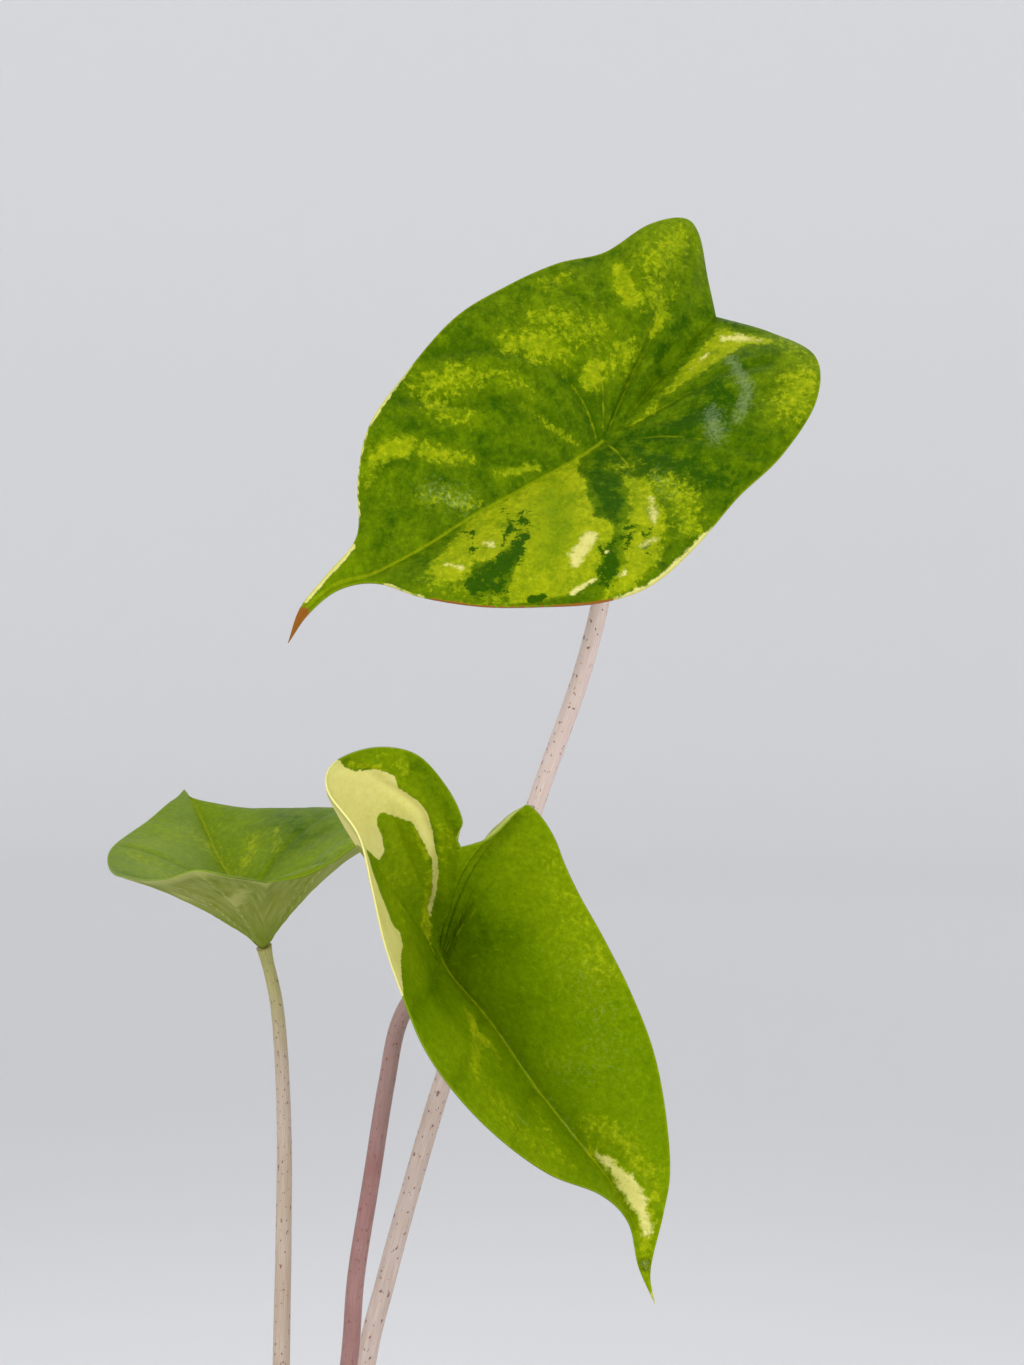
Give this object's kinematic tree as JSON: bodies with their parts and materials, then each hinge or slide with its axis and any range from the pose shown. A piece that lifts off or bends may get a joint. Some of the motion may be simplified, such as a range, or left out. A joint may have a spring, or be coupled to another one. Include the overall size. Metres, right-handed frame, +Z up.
{
  "type": "potted variegated stingray alocasia",
  "caption": "Potted aroid house plant with shield-shaped leaves, each drawn out in a long tail, on slender stalks in a plain clay pot.",
  "frame": {"origin": "middle of the pot's flat underside", "axes": "+Z up along the pot's axis, +Y away from the viewer of the picture, +X to the viewer's right"},
  "size_m": [0.1845, 0.1911, 0.4382],
  "materials": {
    "pot": "unglazed terracotta",
    "soil": "loose bark and peat mix",
    "corm": "dry ringed skin",
    "blade_top": "waxy leaf, green marbled with lime and cream",
    "blade_front": "waxy leaf, green with cream sectors",
    "blade_back": "waxy leaf, green with paler streaks",
    "petiole_top": "smooth pale pinkish stalk with brown flecks",
    "petiole_front": "smooth mauve stalk with dark flecks",
    "petiole_back": "smooth beige stalk, green at the top"
  },
  "bodies": {
    "root": {"pot": "pot", "soil": "soil", "corm": "corm", "blade_top": "blade_top", "blade_front": "blade_front", "blade_back": "blade_back", "petiole_top": "petiole_top", "petiole_front": "petiole_front", "petiole_back": "petiole_back"}
  },
  "joints": []
}
